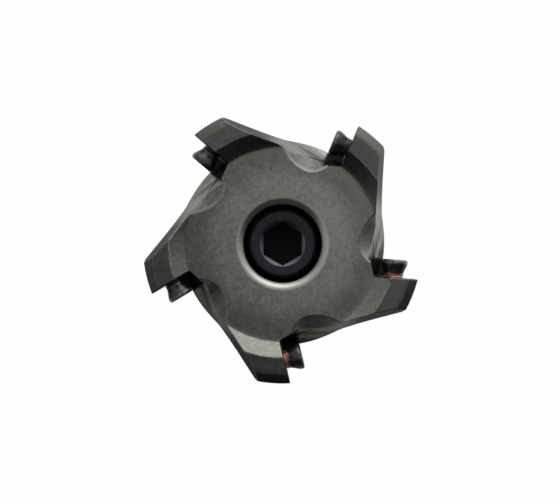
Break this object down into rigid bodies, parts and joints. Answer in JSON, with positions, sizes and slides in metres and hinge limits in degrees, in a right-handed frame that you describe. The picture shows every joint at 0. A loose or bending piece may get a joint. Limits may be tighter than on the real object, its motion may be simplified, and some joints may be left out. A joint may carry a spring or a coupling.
{
  "type": "face mill",
  "caption": "Arbor-mounted indexable face mill body with lobed teeth, open gullets, empty square insert pockets, proud insert screws and a socket head arbor screw.",
  "frame": {"origin": "centre of the arbor bore on the rear mounting face", "axes": "+Z along the cutter axis from the rear face towards the cutting face, +X along the drive slot"},
  "size_m": [0.0716, 0.0699, 0.0485],
  "materials": {
    "body_steel": "satin grey, fine blasted grain with light scratches",
    "black_oxide": "black oxide, slightly oily",
    "black_screw": "black oxide with copper coloured anti-seize on the thread"
  },
  "bodies": {
    "cutter": {"cutter_body": "body_steel"},
    "arbor_screw": {"arbor_screw": "black_oxide"},
    "insert_screw_1": {"insert_screw_1": "black_screw"},
    "insert_screw_2": {"insert_screw_2": "black_screw"},
    "insert_screw_3": {"insert_screw_3": "black_screw"},
    "insert_screw_4": {"insert_screw_4": "black_screw"},
    "insert_screw_5": {"insert_screw_5": "black_screw"}
  },
  "joints": [
    {"name": "arbor_screw_travel", "type": "slide", "parent": "cutter", "child": "arbor_screw", "axis": [0, 0, 1], "range_m": [0, 0.036]},
    {"name": "insert_screw_1_travel", "type": "slide", "parent": "cutter", "child": "insert_screw_1", "axis": [-0.9225, 0.3859, 0], "range_m": [-0.0017, 0.0049]},
    {"name": "insert_screw_2_travel", "type": "slide", "parent": "cutter", "child": "insert_screw_2", "axis": [-0.6521, -0.7581, 0], "range_m": [-0.0017, 0.0049]},
    {"name": "insert_screw_3_travel", "type": "slide", "parent": "cutter", "child": "insert_screw_3", "axis": [0.5195, -0.8545, 0], "range_m": [-0.0017, 0.0049]},
    {"name": "insert_screw_4_travel", "type": "slide", "parent": "cutter", "child": "insert_screw_4", "axis": [0.9732, 0.23, 0], "range_m": [-0.0017, 0.0049]},
    {"name": "insert_screw_5_travel", "type": "slide", "parent": "cutter", "child": "insert_screw_5", "axis": [0.0819, 0.9966, 0], "range_m": [-0.0017, 0.0049]}
  ]
}
